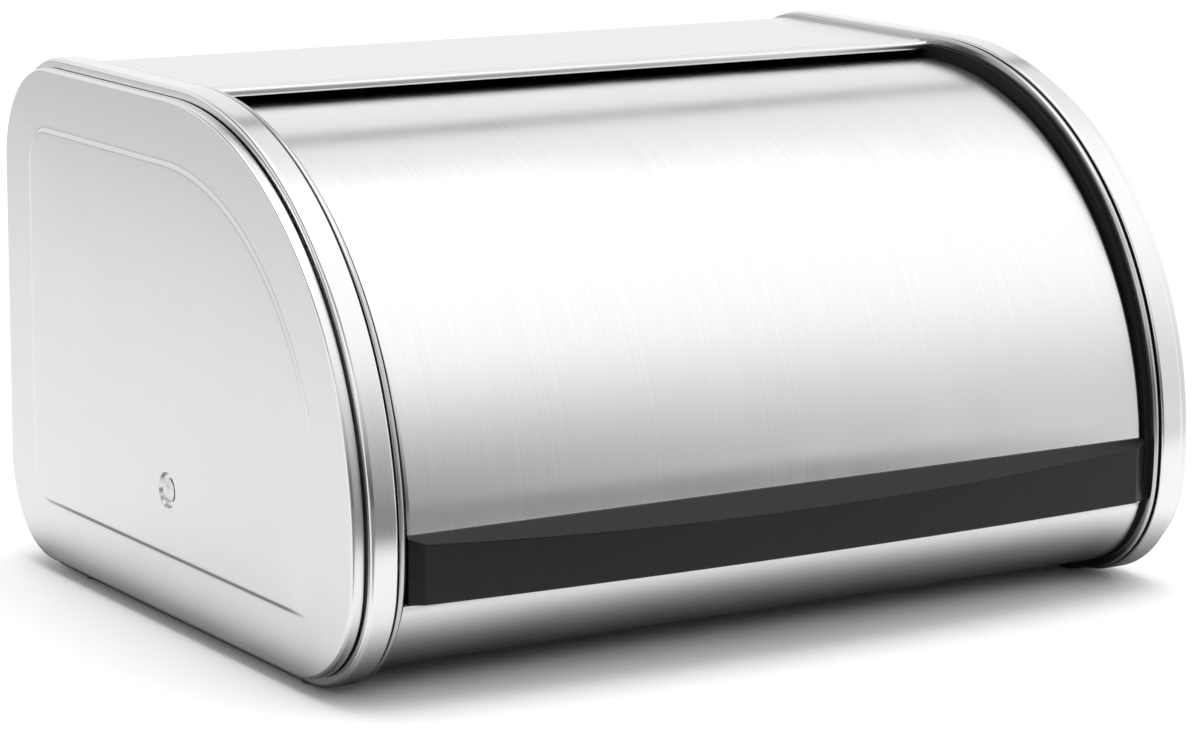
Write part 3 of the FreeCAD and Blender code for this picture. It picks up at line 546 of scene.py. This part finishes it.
def panel_loops(raised, inward):
    """Loops of (depth, y, z) from the lip's back edge over the face and behind, and how many the lip has."""
    lip = [flat_loop(depth, end_outline(inset)) for depth, inset in rounded_run(LIP_SECTION, counts=10)]
    outer = end_outline(BORDER_INSET)
    border = [flat_loop(PANEL_STEP, outer * (1 - share) + raised * share) for share in BORDER_SHARES]
    steps = [*np.linspace(0, STEP_WIDE, 11)[1:], *SHOULDER_STEPS]
    slope = [shaped_loop(raised + inward * distance, distance) for distance in steps]

    centre = np.array([PIVOT.y, PIVOT.z])
    ray = raised + inward * steps[-1] - centre
    reach = np.linalg.norm(ray, axis=1)
    ray /= reach[:, None]
    inner = DIMPLE_RADIUS + DIMPLE_BORDER
    middle = []
    for share in np.linspace(0, 1, 25)[1:]:
        radius = inner + (reach - inner) * (1 - share)
        loop = shaped_loop(centre + ray * radius[:, None], steps[-1] + (reach - radius))
        loop[:, 0] *= 1 - share ** 3
        middle.append(loop)

    section = rounded_run([
        ((0, DIMPLE_RADIUS + DIMPLE_START), 0),
        ((0, DIMPLE_RADIUS), DIMPLE_ROUND),
        ((DIMPLE_DEEP, DIMPLE_RADIUS - DIMPLE_WALL), DIMPLE_ROUND),
        ((DIMPLE_DEEP, SHAFT_RADIUS), 0),
    ])
    behind = [(DIMPLE_BACK, SHAFT_RADIUS), (DIMPLE_BACK, DIMPLE_RADIUS)]
    dimple = [flat_loop(depth, centre + ray * radius) for depth, radius in [*section, *behind]]
    back = [flat_loop(depth, end_outline(inset)) for depth, inset in PANEL_BACK]
    return lip + border + slope + middle + dimple + back, len(lip)


def side_panel(name, side):
    """Pressed end panel: rolled lip, flat border, raised middle that fades out at the front, dimple."""
    raised = end_outline(RAISED_INSET, corner=RAISED_CORNER)
    rows, lip_rows = panel_loops(raised, -normals_2d(raised, closed=True))
    for row in rows:
        row[:, 0] = side * (END_X - row[:, 0])
    around = along(end_outline(0), closed=True)
    across = along(np.array([row[0] for row in rows]), closed=True)
    verts, faces, uvs = grid(rows, True, True, across, around)
    # The grain runs round the lip, but straight across the face.
    for index in range(lip_rows * len(raised), len(faces)):
        uvs[4 * index:4 * index + 4] = [(verts[i][1], verts[i][2]) for i in faces[index]]
    wear = np.zeros(len(rows))
    wear[2:lip_rows - 2] = LIP_WEAR
    marks = np.repeat(wear, len(raised))
    return build(f"{name}_skin", "box", STEEL_PANEL, verts, faces, uvs, [name], marks)


def lathe(name, body, material, profile, origin, axis, nodes):
    """A turned piece: profile is (height along the axis, radius) from one flat end to the other."""
    turns = 64
    axis = Vector(axis)
    aside = axis.orthogonal().normalized()
    other = axis.cross(aside)
    angles = [2 * math.pi * k / turns for k in range(turns)]
    spokes = [aside * math.cos(angle) + other * math.sin(angle) for angle in angles]
    rows = [[tuple(Vector(origin) + axis * height + spoke * radius) for spoke in spokes]
            for height, radius in profile]
    widest = max(radius for _, radius in profile)
    around = np.arange(turns + 1) / turns * 2 * math.pi * widest
    verts, faces, uvs = grid(rows, False, True, along(np.array(profile)), around)
    for row in (0, len(profile) - 1):
        faces.append(tuple(row * turns + k for k in range(turns)))
        uvs += [(around[k], 0) for k in range(turns)]
    return build(name, body, material, verts, faces, uvs, nodes)


def pivot_rivet(name, side):
    """Rivet with a domed head in the dimple, a shaft and a clenched inner end."""
    low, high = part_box(name)
    inner_x, outer_x = (high.x, low.x) if side < 0 else (low.x, high.x)
    length = abs(outer_x - inner_x)
    seat = length - HEAD_TALL
    dome = []
    for angle in np.linspace(DOME_SPAN, DOME_FLAT, 14):
        drop = DOME_TALL * (1 - math.cos(angle)) / (1 - math.cos(DOME_SPAN))
        radius = HEAD_RADIUS * math.sin(angle) / math.sin(DOME_SPAN)
        dome.append((length - DOME_GAP - drop, radius))
    under = [(seat, SHAFT_RADIUS), (seat, SHAFT_RADIUS + 0.3 * MM), (seat + HEAD_EDGE, HEAD_RADIUS)]
    lathe(f"{name}_skin", "box", FASTENER, [*CLENCHED_END, *under, *dome],
          (inner_x, PIVOT.y, PIVOT.z), (side, 0, 0), [name])


def ring_profile(outer, inner, inset, round_outer, round_inner):
    """A closed section of a flat ring with two round outer edges, as (depth, inset) pairs."""
    return rounded_run([
        ((outer, FACE_INSET), 0),
        ((outer, inset), round_outer),
        ((inner, inset), round_inner),
        ((inner, FACE_INSET), 0),
    ], counts=9)


for side_name, side in SIDES.items():
    side_panel(f"{side_name}_side_panel", side)
    pivot_rivet(f"{side_name}_pivot_rivet", side)
    hoop(f"{side_name}_rim_band", side, ring_profile(*BAND_SECTION), STEEL_RIM)
    hoop(f"{side_name}_trim_ring", side, ring_profile(*TRIM_SECTION), STEEL_TRIM)


# ---------------------------------------------------------------- wrapped sheets

SHELL_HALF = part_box("back_shell")[1].x
PAN_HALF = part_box("base_pan")[1].x
PAN_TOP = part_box("base_pan")[1].z
SHELL_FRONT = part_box("back_shell")[0].y
TOP_INSET = 2.2 * MM
BACK_INSET = 3.0 * MM
STRIP_INSET = 3.8 * MM
SEAM_Y = RIM_Y + 78 * MM
SHEET_STATIONS = 41

# The top plate's front edge: where the plate ends and the curl starts, and how far the edge drops.
CURL_LONG = 7 * MM
HEM_DROP = 2.6 * MM

# The front strip's top edge is folded back inside: half the fold's width, its length down the inside, and
# its gap to the bend's next point.
FOLD_HALF = 0.7 * MM
FOLD_LONG = 8 * MM
FOLD_GAP = 0.3 * MM

# The floor's rear edge steps up and lies over the back shell's.
LAP_LONG = 12 * MM
LAP_ROUND = 1.5 * MM
LAP_CLEAR = 0.02 * MM


def stations(half):
    return np.linspace(-half, half, SHEET_STATIONS)


def back_shell():
    """Back and top of the wrapped sheet; its front edge has a crease and curls under."""
    outline = end_outline(STRIP_INSET, TOP_INSET, BACK_INSET)
    y, z = outline[:, 0], outline[:, 1]
    top_z = RIM_Z + RIM_TALL - TOP_INSET
    ahead_of_seam = (z < RIM_Z + RIM_TALL / 2) & (y < SEAM_Y)
    wrap = outline[(y > SHELL_FRONT + CURL_LONG) & ~ahead_of_seam]
    drop = HEM_DROP + SHEET
    curl = rounded_run([
        ((SHELL_FRONT + 6.2 * MM, top_z), 0),
        ((SHELL_FRONT + 5.4 * MM, top_z), 0.7 * MM),
        ((SHELL_FRONT + 4.6 * MM, top_z - 0.4 * MM), 0.6 * MM),
        ((SHELL_FRONT + 3.4 * MM, top_z - 0.04 * MM), 1.2 * MM),
        ((SHELL_FRONT, top_z - 0.3 * MM), 1.3 * MM),
        ((SHELL_FRONT, top_z - drop), 0.9 * MM),
        ((SHELL_FRONT + 2.2 * MM, top_z - drop), 0),
    ], counts=8)
    section = np.concatenate([[(SEAM_Y, RIM_Z + STRIP_INSET)], wrap, curl])
    verts, faces, uvs = strip(section, SHEET, stations(SHELL_HALF))
    return build("back_shell_skin", "box", STEEL_SHELL, verts, faces, uvs, ["back_shell"])


def toe_point(centre, radius, angle):
    """A point on the front strip's bend, at an angle in radians below the front horizontal."""
    return centre - radius * np.array([math.cos(angle), math.sin(angle)])


def base_pan():
    """Floor and front strip of the box, with a folded top edge and a joggle over the back shell's edge."""
    outline = end_outline(STRIP_INSET)
    floor_z = RIM_Z + STRIP_INSET
    toe_centre = np.array([outline[0][0], RIM_Z + FRONT_CORNER])
    outer_radius = FRONT_CORNER - STRIP_INSET
    inner_radius = outer_radius - 2 * FOLD_HALF
    top_angle = math.asin((toe_centre[1] - PAN_TOP) / outer_radius)
    fold_angle = top_angle + FOLD_LONG / inner_radius
    down = np.array([0, FOLD_HALF])
    inside = np.array([toe_point(toe_centre, inner_radius, angle) - down
                       for angle in np.linspace(fold_angle, top_angle, 8)])
    outside = toe_point(toe_centre, outer_radius, top_angle) - down

    middle = (inside[-1] + outside) / 2
    reach = outside - middle
    rise = np.array([reach[1], -reach[0]])
    fold = [middle - reach * math.cos(a) + rise * math.sin(a) for a in np.linspace(0, math.pi, 13)]
    y, z = outline[:, 0], outline[:, 1]
    toe = outline[(y < RIM_Y) & (z > floor_z + TINY) & (z < outside[1] - FOLD_GAP)]
    toe = toe[np.argsort(-toe[:, 1])]
    lap_z = floor_z + SHEET + LAP_CLEAR
    lap = rounded_run([
        ((toe_centre[0], floor_z), 0),
        ((SEAM_Y - 1.6 * MM, floor_z), LAP_ROUND),
        ((SEAM_Y - 0.1 * MM, lap_z), LAP_ROUND),
        ((SEAM_Y + LAP_LONG, lap_z), 0),
    ], counts=5)
    section = np.concatenate([inside[:-1], fold, toe, lap])
    verts, faces, uvs = strip(section, SHEET, stations(PAN_HALF))
    return build("base_pan_skin", "box", STEEL_SHELL, verts, faces, uvs, ["base_pan"])


back_shell()
base_pan()


# ---------------------------------------------------------------- lid

LID_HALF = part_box("lid_sheet")[1].x
LID_RADIUS = 125.5 * MM
LID_ANGLES = np.radians(np.linspace(-6.2, 100.0, 171))
LID_FLANGE = 9 * MM
LID_FOLD = 1.7 * MM
LID_EDGE_FLAT = 8 * MM


def lid_sheet():
    """Rolled lid with an inward flange at each end, its folds rounded."""
    outer = rounded_run([
        ((-LID_HALF, LID_RADIUS - LID_FLANGE), 0),
        ((-LID_HALF, LID_RADIUS), LID_FOLD),
        ((-LID_HALF + LID_EDGE_FLAT, LID_RADIUS), 0),
        ((0, LID_RADIUS), 0),
        ((LID_HALF - LID_EDGE_FLAT, LID_RADIUS), 0),
        ((LID_HALF, LID_RADIUS), LID_FOLD),
        ((LID_HALF, LID_RADIUS - LID_FLANGE), 0),
    ], counts=8)
    inner = outer + normals_2d(outer) * SHEET
    section = np.concatenate([outer, inner[::-1]])
    x, radius = section[:, 0], section[:, 1]
    rows = [np.column_stack([x, PIVOT.y - radius * math.cos(angle), PIVOT.z + radius * math.sin(angle)])
            for angle in LID_ANGLES]
    across = along(section, closed=True)
    verts, faces, uvs = grid(rows, False, True, LID_ANGLES * LID_RADIUS, across)
    end_faces, end_uvs = sheet_ends(len(outer), len(rows), across, SHEET)
    return build("lid_sheet_skin", "lid", STEEL_LID, verts, faces + end_faces, uvs + end_uvs,
                 ["lid_sheet"])


lid_sheet()


HANDLE_LOW, HANDLE_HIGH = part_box("lid_handle")
HANDLE_HALF = HANDLE_HIGH.x
LID_FRONT = PIVOT.y - LID_RADIUS
HANDLE_DEEP = LID_FRONT - HANDLE_LOW.y
HANDLE_END_DEEP = 3.6 * MM
BEVEL_LONG = 5 * MM
BEVEL_SHARE = 2 / 3
BEVEL_SOFT = 0.5 * MM
FACET_SLOPE = 0.8
FACET_GAP = 0.4 * MM
HANDLE_EDGE = 0.4 * MM
HANDLE_REAR_TOP = HANDLE_HIGH.z - 0.15 * MM


def lid_face_y(z):
    """Y of the lid's outer face at a height."""
    return PIVOT.y - math.sqrt(LID_RADIUS ** 2 - (z - PIVOT.z) ** 2)


def handle_depth(x):
    """How far the handle stands off the lid's front: a shallow bow, then a bevel at its end."""
    flat = HANDLE_HALF - BEVEL_LONG
    bow = HANDLE_DEEP - HANDLE_END_DEEP
    bow_radius = (flat ** 2 + bow ** 2) / (2 * bow)
    if x <= flat:
        return HANDLE_DEEP - (bow_radius - math.sqrt(bow_radius ** 2 - x ** 2))
    return HANDLE_END_DEEP * (1 - (x - flat) / BEVEL_LONG * BEVEL_SHARE)


def handle_section(x):
    """The handle's section from its lower rear edge round the front and the sloping facet to its top."""
    nearby = [min(x + BEVEL_SOFT * k / 4, HANDLE_HALF) for k in range(-4, 5)]
    front = LID_FRONT - sum(handle_depth(place) for place in nearby) / len(nearby)
    close = min(HANDLE_HALF - x, HANDLE_EDGE)
    shrink = HANDLE_EDGE - math.sqrt(HANDLE_EDGE ** 2 - (HANDLE_EDGE - close) ** 2)
    facet_z = HANDLE_HIGH.z - FACET_SLOPE * (LID_FRONT - front)
    return rounded_run([
        ((lid_face_y(HANDLE_LOW.z), HANDLE_LOW.z + shrink), 0),
        ((front + shrink, HANDLE_LOW.z + shrink), 0.7 * MM),
        ((front + shrink, facet_z - shrink), 0.6 * MM),
        ((LID_FRONT - FACET_GAP, HANDLE_HIGH.z - FACET_SLOPE * FACET_GAP - shrink), 0.4 * MM),
        ((lid_face_y(HANDLE_HIGH.z), HANDLE_REAR_TOP - shrink), 0),
    ])


def handle():
    """Black bar with a bowed front, a sloping top facet and bevelled ends."""
    near_bevel = HANDLE_HALF - BEVEL_LONG - 2 * MM
    reach = np.concatenate([np.linspace(0, near_bevel, 60),
                            np.linspace(near_bevel + 0.2 * MM, HANDLE_HALF, 35)])
    rear = [(lid_face_y(z), z) for z in np.linspace(HANDLE_REAR_TOP, HANDLE_LOW.z, 10)[1:-1]]
    half = [np.concatenate([handle_section(x), rear]) for x in reach]
    xs = np.concatenate([-reach[:0:-1], reach])
    sections = half[:0:-1] + half
    rows = [np.column_stack([np.full(len(section), x), section]) for x, section in zip(xs, sections)]
    lengths = along(half[0], closed=True)
    verts, faces, uvs = grid(rows, False, True, xs, lengths)
    total = len(half[0])
    for row in (0, len(rows) - 1):
        faces.append(tuple(row * total + i for i in range(total)))
        uvs += [(0, lengths[i]) for i in range(total)]
    return build("lid_handle_skin", "lid", BLACK_HANDLE, verts, faces, uvs, ["lid_handle"])


handle()


# ---------------------------------------------------------------- finishes of the frame's own nodes

FINISHES = {
    "end_liner": BLACK_LINER,
    "lid_arm": BLACK_LINER,
    "pivot_washer": FASTENER,
    "arm_rivets": FASTENER,
    "handle_screws": FASTENER,
    "pivot_bush": NYLON,
    "stop": RUBBER,
    "foot": RUBBER,
}
for name, node in frame["nodes"].items():
    for ending, material in FINISHES.items():
        if name.endswith(ending):
            for place in node.material_slots:
                place.material = material


# ---------------------------------------------------------------- stage, light and camera

FLOOR_REACH = 9.0
FLOOR_CLOUD = 1 / 3
FLOOR_PALE = (0.95, 0.95, 0.95)
FLOOR_PALER = (0.97, 0.97, 0.97)
# Painted shade on the floor, seen only in reflections.
PAINTED_ROOM_SHADE = (0.2, 0.2, 0.2)
# A painted shadow on the floor under the box, seen only in reflections.
PAINTED_UNDER_SHADOW = (0.02, 0.02, 0.02)
LEFT_SLANT = 0.75
AHEAD_SLANT = 0.675


def floor():
    """Pale floor with painted shade that only glossy reflections see: darker off to the left and ahead, and a
    painted shadow under the box.
    """
    mesh = bpy.data.meshes.new("floor")
    corners = [(x, y, 0) for x, y in ((-1, -1), (1, -1), (1, 1), (-1, 1))]
    mesh.from_pydata([Vector(corner) * FLOOR_REACH for corner in corners], [], [(0, 1, 2, 3)])
    material, graph, shader = new_material("pale_floor_painted_shade")
    place = graph.object_place()
    clouds = graph.noise(graph.sized(place, FLOOR_CLOUD), detail=4)
    pale = graph.mix(graph.span(clouds, 0.3, 0.7), FLOOR_PALE, FLOOR_PALER)
    parts = graph.node("ShaderNodeSeparateXYZ")
    graph.set(parts.inputs[0], place)
    x, y, _ = parts.outputs

    # The left panel's face reflects the floor behind it, where painted shade darkens the floor with distance.
    left = graph.math("ADD", graph.span(x, -0.18, -0.28, 0.0, 0.15),
                      graph.span(x, -0.3, -1.1, 0.0, 0.6, smooth=True))
    behind = graph.span(graph.math("MULTIPLY_ADD", x, LEFT_SLANT, y), -0.2, -0.06, smooth=True)
    # The lid's foot reflects painted shade on the floor ahead, and the left ends' folds painted shade on the
    # corner between.
    ahead = graph.span(y, -0.29, -0.47, smooth=True)
    right_of = graph.span(graph.math("MULTIPLY_ADD", y, AHEAD_SLANT, x), 0.0, 0.14, 1.0, 0.3, smooth=True)
    corner = graph.product(graph.span(y, -0.14, -0.26, smooth=True), graph.span(x, -0.17, -0.23, smooth=True))
    room = graph.math("MAXIMUM", graph.product(left, behind), graph.product(ahead, right_of))
    room = graph.math("MAXIMUM", room, corner)
    # The front strip reflects a shadow painted on the floor under the box.
    beside = graph.span(graph.math("ABSOLUTE", x), 0.197, 0.174, smooth=True)
    under = graph.product(graph.span(y, -0.15, -0.095, 0.0, 0.85, smooth=True), beside,
                          graph.span(y, 0.18, 0.13, smooth=True))

    # Only glossy rays see the painted shade and the painted shadow; the camera and diffuse light see the pale
    # floor.
    glossy = graph.node("ShaderNodeLightPath").outputs["Is Glossy Ray"]
    seen = graph.mix(graph.product(room, glossy), pale, PAINTED_ROOM_SHADE)
    # The painted shadow under the box, mixed in for glossy rays only.
    graph.set(shader.inputs["Base Color"], graph.mix(graph.product(under, glossy), seen, PAINTED_UNDER_SHADOW))
    shader.inputs["Roughness"].default_value = 0.6
    shader.inputs["Specular IOR Level"].default_value = 0.1
    mesh.materials.append(material)
    plane = bpy.data.objects.new("floor", mesh)
    bpy.context.scene.collection.objects.link(plane)


def studio():
    """White studio, laid out by the angle round the box's long axis: 0 ahead, 90 above, 180 behind."""
    world = bpy.data.worlds.new("studio")
    bpy.context.scene.world = world
    world.use_nodes = True
    graph = Graph(world.node_tree)
    background = world.node_tree.nodes["Background"]
    way = graph.node("ShaderNodeTexCoord").outputs["Generated"]
    parts = graph.node("ShaderNodeSeparateXYZ")
    graph.set(parts.inputs[0], way)
    x, y, z = parts.outputs
    turn = graph.math("DEGREES", graph.math("ARCTAN2", z, graph.product(y, -1.0)))

    def dim(level, share, part):
        """The level lowered by a part of itself where share is 1."""
        return graph.product(level, graph.math("MULTIPLY_ADD", share, -part, 1.0))

    # A scrim that brightens upwards, and a back wall that is a little darker.
    scrim = graph.span(turn, 0.0, 64.0, 0.94, 1.34, smooth=True)
    falling = graph.span(turn, 76.0, 126.0, 0.0, 0.3, smooth=True)
    level = graph.math("SUBTRACT", scrim, falling)

    # A narrow dark slot behind, on the right, seen as a line near the lid's top.
    middle = graph.math("MULTIPLY_ADD", x, 20.0, 125.0)
    off = graph.math("ABSOLUTE", graph.math("SUBTRACT", turn, middle))
    slot = graph.product(graph.span(off, 6.5, 0.0, smooth=True), graph.span(x, 0.1, 0.3))
    level = dim(level, slot, 0.6)

    # The room ahead is unlit except at the right, and there is a gap in the light at the upper left.
    low = graph.span(turn, 46.0, -4.0, smooth=True)
    level = dim(level, graph.product(low, graph.span(x, 0.625, 0.375, smooth=True)), 0.92)
    upper_left = graph.product(graph.span(x, -0.1, -0.26, smooth=True), graph.span(z, 0.5, 0.62, smooth=True),
                               graph.span(z, 0.9, 0.8, smooth=True))
    level = dim(level, upper_left, 0.7)

    # The key light hangs overhead.
    level = graph.math("ADD", level, graph.span(z, 0.87, 0.95, 0.0, 2.1, smooth=True))
    tone = graph.node("ShaderNodeCombineColor", Red=level, Green=level, Blue=level).outputs[0]
    graph.set(background.inputs["Color"], tone)
    background.inputs["Strength"].default_value = 1.0


CAMERA_PLACE = Vector((-0.75613, -1.21196, 0.35154))
CAMERA_YAW = math.radians(32.034)
CAMERA_PITCH = math.radians(11.012)
CAMERA_ROLL = math.radians(0.362)
CAMERA_LENS = 125.0
CAMERA_SENSOR = 36.0


def camera():
    """Camera at the photograph's viewing angle, from its place and three turns."""
    forward = Vector((math.sin(CAMERA_YAW) * math.cos(CAMERA_PITCH),
                      math.cos(CAMERA_YAW) * math.cos(CAMERA_PITCH), -math.sin(CAMERA_PITCH)))
    level = Vector((math.cos(CAMERA_YAW), -math.sin(CAMERA_YAW), 0))
    rise = level.cross(forward)
    right = level * math.cos(CAMERA_ROLL) + rise * math.sin(CAMERA_ROLL)
    up = -level * math.sin(CAMERA_ROLL) + rise * math.cos(CAMERA_ROLL)
    lens = bpy.data.cameras.new("camera")
    lens.lens = CAMERA_LENS
    lens.sensor_width = CAMERA_SENSOR
    eye = bpy.data.objects.new("camera", lens)
    bpy.context.scene.collection.objects.link(eye)
    turned = Matrix((right, up, -forward)).transposed().to_4x4()
    eye.matrix_world = Matrix.Translation(CAMERA_PLACE) @ turned
    bpy.context.scene.camera = eye


floor()
studio()
camera()
bpy.context.scene.view_settings.view_transform = "Standard"
